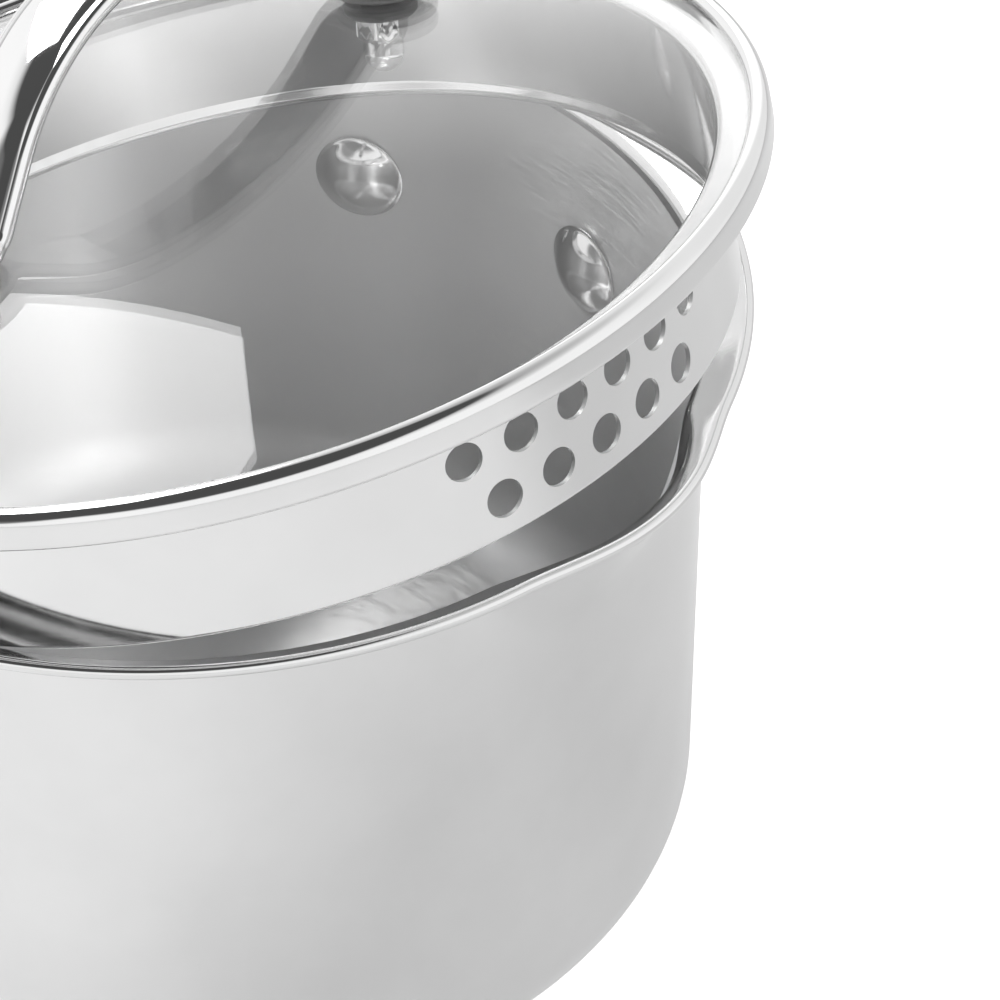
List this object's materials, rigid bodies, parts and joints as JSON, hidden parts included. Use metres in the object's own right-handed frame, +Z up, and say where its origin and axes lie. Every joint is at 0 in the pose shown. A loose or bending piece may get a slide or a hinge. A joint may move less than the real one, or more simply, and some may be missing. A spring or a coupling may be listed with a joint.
{
  "type": "saucepan with strainer lid",
  "caption": "Steel saucepan with a flared rolled mouth, pour spouts and a riveted long handle, and a lift-off glass lid whose deep steel band is pierced for straining.",
  "frame": {"origin": "centre of the pan's flat resting face", "axes": "+Z up the pan's axis, +X towards the end of the long handle, pour spouts at -Y and +Y"},
  "size_m": [0.3309, 0.1796, 0.1651],
  "materials": {
    "pan_steel": "polished outside, brushed inside",
    "core_aluminium": "as rolled",
    "handle_steel": "satin",
    "band_steel": "polished",
    "bright_steel": "mirror polished",
    "glass": "clear, toughened",
    "seal": "matt black"
  },
  "bodies": {
    "pan": {"pan_body": "pan_steel", "base_core": "core_aluminium", "base_cap": "pan_steel", "pan_handle": "handle_steel", "handle_rivets": "handle_steel"},
    "lid": {"lid_glass": "glass", "lid_band": "band_steel", "lid_handle": "bright_steel", "lid_studs": "bright_steel", "lid_grommets": "seal", "lid_washers": "seal", "lid_cap_nuts": "bright_steel"}
  },
  "joints": [
    {"name": "lid_lift", "type": "slide", "parent": "pan", "child": "lid", "axis": [0, 0, 1], "range_m": [0, 0.12]}
  ]
}
